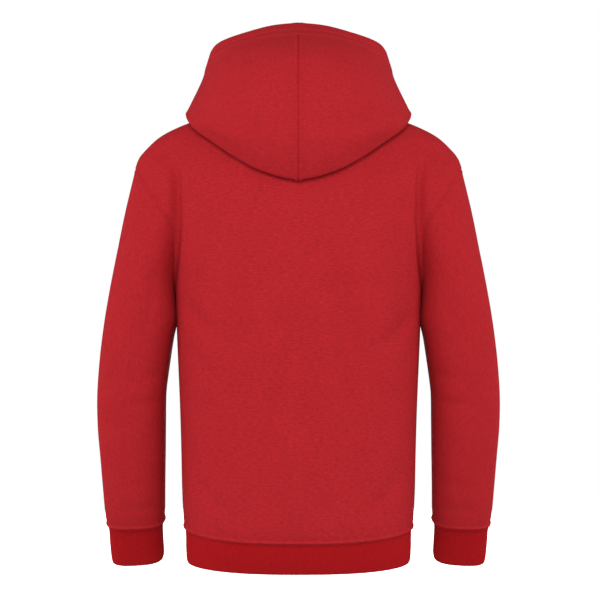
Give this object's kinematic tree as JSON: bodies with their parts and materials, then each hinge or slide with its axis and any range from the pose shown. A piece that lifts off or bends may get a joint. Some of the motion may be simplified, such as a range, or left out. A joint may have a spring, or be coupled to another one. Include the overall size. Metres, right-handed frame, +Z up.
{
  "type": "kids hoodie",
  "caption": "Plain pullover hoodie for a child in brushed fleece, filled out as if worn, with the hood down behind the neck, dropped shoulders, ribbed cuffs and a ribbed hem band.",
  "frame": {"origin": "centre of the neck at the height where the shoulder seams start, which is where the wearer's shoulders hold the hoodie", "axes": "+Z up, the front of the hoodie faces -Y, the wearer's left is +X"},
  "size_m": [0.516, 0.2294, 0.6872],
  "materials": {
    "fleece": "matt brushed cotton fleece, dyed red",
    "rib": "matt cotton rib knit, dyed red"
  },
  "bodies": {
    "root": {"back_panel": "fleece", "front_panel": "fleece", "sleeve_left": "fleece", "sleeve_right": "fleece", "hood_left": "fleece", "hood_right": "fleece", "cuff_left": "rib", "cuff_right": "rib", "hem_band": "rib"}
  },
  "joints": []
}
